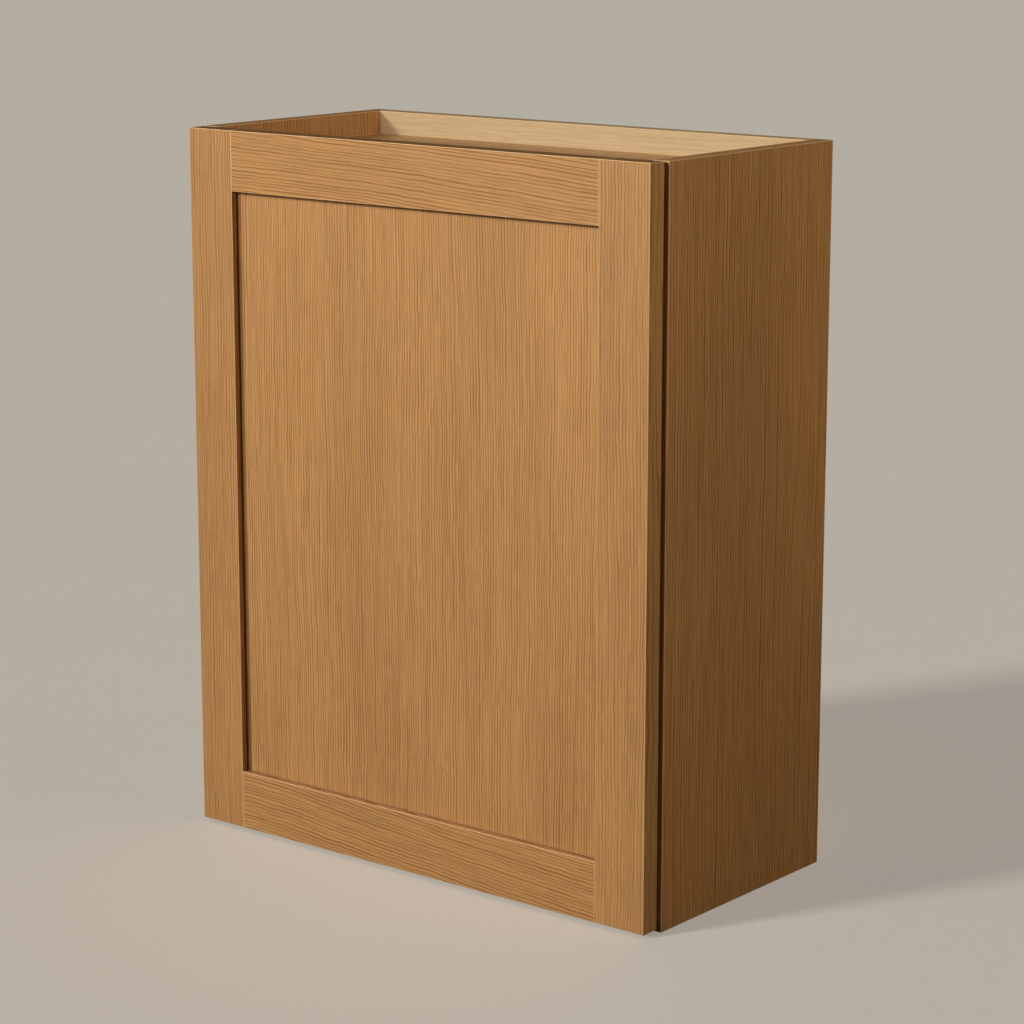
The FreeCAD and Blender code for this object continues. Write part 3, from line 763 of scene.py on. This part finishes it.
class CABINET_OT_fittings(bpy.types.Operator):
    """Hinges, screws, pegs, bumpers and dowels"""

    bl_idname = "cabinet.fittings"
    bl_label = "Fittings"

    def pegs(self, level, zinc):
        """Four angle pegs under a shelf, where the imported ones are."""
        sizes = bpy.context.scene.cabinet_fittings
        low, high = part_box(f"shelf_{level}_pegs")
        wall = high.x - sizes.peg_pin
        half = sizes.peg_width / 2
        shape = bmesh.new()
        for side in (-1, 1):
            for row in (low.y + half, high.y - half):
                angle_peg(shape, side * wall, side, row, high.z)
        smooth_piece(f"angle_pegs_{level}", shape, zinc, "cabinet", "peg_steel", f"shelf_{level}_pegs")

    def bumper(self, level, rubber):
        """A domed bumper on the back of the door."""
        low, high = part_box(f"door_bumper_{level}")
        middle = (low + high) / 2
        shape = bmesh.new()
        domed_disc(shape, Vector((middle.x, low.y, middle.z)), (high.x - low.x) / 2, high.y - low.y)
        smooth_piece(f"domed_bumper_{level}", shape, rubber, "door", "bumper", f"door_bumper_{level}")

    def execute(self, context):
        fittings = context.scene.cabinet_fittings
        nickel = plated_material("nickel_plate", fittings.nickel, 0.24)
        zinc = plated_material("zinc_plate", fittings.zinc, 0.34)
        for level in LEVELS:
            for part in ("cup", "arm", "plate", "pin"):
                finish(f"hinge_{level}_{part}", nickel)
            for part in ("cup_screws", "plate_screws", "arm_screws"):
                finish(f"hinge_{level}_{part}", zinc)
            self.pegs(level, zinc)
            self.bumper(level, rubber_material(f"bumper_{level}", fittings.rubber))
        beech = context.scene.cabinet_wood.beech
        finish("rail_dowels", wood_material("beech_dowel", beech, beech, beech, "across", 61))
        return {"FINISHED"}


# ---- studio ----
DAYLIGHT = (1.0, 0.965, 0.91)
SOFT_WHITE = (1.0, 0.93, 0.84)
LAMPLIGHT = (1.0, 0.90, 0.74)
KEY_DISTANCE = 5.0  # only where the key light is drawn: its strength is the same at any distance
FLOOR_REACH = 40.0  # from the cabinet to each edge of the floor
FLOOR_GAP = 0.0005  # keeps the floor off the cabinet's bottom
SENSOR_WIDTH = 36.0  # millimetres
FAR_CLIP = 200.0


def direction(azimuth, elevation):
    """Unit vector from the cabinet to a place at this azimuth to the right of the door's front."""
    level = math.cos(elevation)
    return Vector((math.sin(azimuth) * level, -math.cos(azimuth) * level, math.sin(elevation)))


def place_light(name, light, strength, colour, azimuth, elevation, distance):
    """Hangs a light that faces the middle of the cabinet. Its angles are in degrees."""
    light.energy = strength
    light.color = colour
    lamp = bpy.data.objects.new(name, light)
    bpy.context.collection.objects.link(lamp)
    back = direction(math.radians(azimuth), math.radians(elevation))
    lamp.location = (CAD_BOX[0] + CAD_BOX[1]) / 2 + back * distance
    lamp.rotation_euler = back.to_track_quat("Z", "Y").to_euler()
    return lamp


def far_light(name, strength, colour, azimuth, elevation, spread):
    """An even light from far away; its spread, in degrees, softens the shadows."""
    light = bpy.data.lights.new(name, "SUN")
    light.angle = math.radians(spread)
    place_light(name, light, strength, colour, azimuth, elevation, KEY_DISTANCE)


def soft_box(name, power, colour, azimuth, elevation, distance, size):
    """A square soft light, which lights the cabinet and leaves the floor even."""
    light = bpy.data.lights.new(name, "AREA")
    light.size = size
    lamp = place_light(name, light, power, colour, azimuth, elevation, distance)
    lamp.light_linking.receiver_collection = bpy.data.collections["lit_pieces"]
    return lamp


def hang_lights(stage):
    """One light from far away, and soft boxes by the door, beside the cabinet and behind it."""
    lit_pieces = bpy.data.collections.new("lit_pieces")
    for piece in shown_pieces():
        lit_pieces.objects.link(piece)
    far_light("key_light", stage.key_strength, DAYLIGHT, azimuth=-26.0, elevation=20.0, spread=9.0)
    near = {"azimuth": -8.0, "elevation": 30.0, "distance": 1.6, "size": 0.6}
    soft_box("near_light", stage.near_power, DAYLIGHT, **near)
    side = {"azimuth": 97.0, "elevation": 30.0, "distance": 2.4, "size": 0.7}
    soft_box("side_light", stage.side_power, LAMPLIGHT, **side)
    back = {"azimuth": 183.0, "elevation": 9.0, "distance": 2.4, "size": 1.0}
    back_light = soft_box("back_light", stage.back_power, SOFT_WHITE, **back)
    # Its reflection would whiten the top faces.
    back_light.visible_glossy = False


def room_light(stage):
    """Dim light from all round, with a paler backdrop where the camera sees past the floor."""
    world = bpy.data.worlds.new("room")
    world.use_nodes = True
    tree = world.node_tree
    tree.nodes.clear()
    seen = node(tree, "ShaderNodeLightPath").outputs["Is Camera Ray"]
    lit = solid(stage.room, stage.room_strength)
    shown = mix_colour(tree, seen, lit, solid(stage.backdrop))
    background = node(tree, "ShaderNodeBackground", {"Color": shown})
    output = node(tree, "ShaderNodeOutputWorld")
    tree.links.new(background.outputs["Background"], output.inputs["Surface"])
    return world


def lay_floor(stage):
    """A wide level floor just under the cabinet."""
    mesh = bpy.data.meshes.new("floor")
    plane = bmesh.new()
    bmesh.ops.create_grid(plane, x_segments=1, y_segments=1, size=FLOOR_REACH)
    bmesh.ops.translate(plane, verts=plane.verts, vec=(0.0, 0.0, CAD_BOX[0].z - FLOOR_GAP))
    plane.to_mesh(mesh)
    plane.free()
    mesh.materials.append(floor_material("pale_floor", stage.floor, stage.bounce, stage.glow))
    floor = bpy.data.objects.new("floor", mesh)
    bpy.context.collection.objects.link(floor)
    floor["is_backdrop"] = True


def place_camera(stage):
    """The camera, which looks at its target from the stage's azimuth and elevation."""
    camera = bpy.data.objects.new("camera", bpy.data.cameras.new("camera"))
    bpy.context.collection.objects.link(camera)
    camera.data.sensor_width = SENSOR_WIDTH
    camera.data.lens = stage.lens
    camera.data.clip_end = FAR_CLIP
    back = direction(stage.azimuth, stage.elevation)
    camera.location = Vector(stage.target) + back * stage.distance
    camera.rotation_euler = back.to_track_quat("Z", "Y").to_euler()
    return camera


class CABINET_OT_stage(bpy.types.Operator):
    """Pale floor, soft lights and the camera"""

    bl_idname = "cabinet.stage"
    bl_label = "Stage"

    def execute(self, context):
        stage = context.scene.cabinet_stage
        lay_floor(stage)
        hang_lights(stage)
        context.scene.world = room_light(stage)
        context.scene.view_settings.view_transform = "Standard"
        context.scene.camera = place_camera(stage)
        return {"FINISHED"}


PIECES = (
    CABINET_OT_side_panels,
    CABINET_OT_level_panels,
    CABINET_OT_edge_bands,
    CABINET_OT_hang_rails,
    CABINET_OT_shelves,
    CABINET_OT_door,
    CABINET_OT_fittings,
    CABINET_OT_stage,
)


class CABINET_PT_sidebar(bpy.types.Panel):
    """Every step of the cabinet, in the 3D view's sidebar"""

    bl_idname = "CABINET_PT_sidebar"
    bl_label = "Hanging wall cabinet"
    bl_space_type = "VIEW_3D"
    bl_region_type = "UI"
    bl_category = "Cabinet"

    def draw(self, context):
        for piece in PIECES:
            self.layout.operator(piece.bl_idname)


SETTINGS = {
    "cabinet_wood": CabinetWoodSettings,
    "cabinet_fittings": CabinetFittingSettings,
    "cabinet_stage": CabinetStageSettings,
}


def register():
    for name, group in SETTINGS.items():
        bpy.utils.register_class(group)
        setattr(bpy.types.Scene, name, PointerProperty(type=group))
    for piece in (*PIECES, CABINET_PT_sidebar):
        bpy.utils.register_class(piece)


def unregister():
    for piece in (CABINET_PT_sidebar, *reversed(PIECES)):
        bpy.utils.unregister_class(piece)
    for name, group in SETTINGS.items():
        delattr(bpy.types.Scene, name)
        bpy.utils.unregister_class(group)


def main():
    register()
    for piece in PIECES:
        group, name = piece.bl_idname.split(".")
        getattr(getattr(bpy.ops, group), name)()


if __name__ == "__main__":
    main()
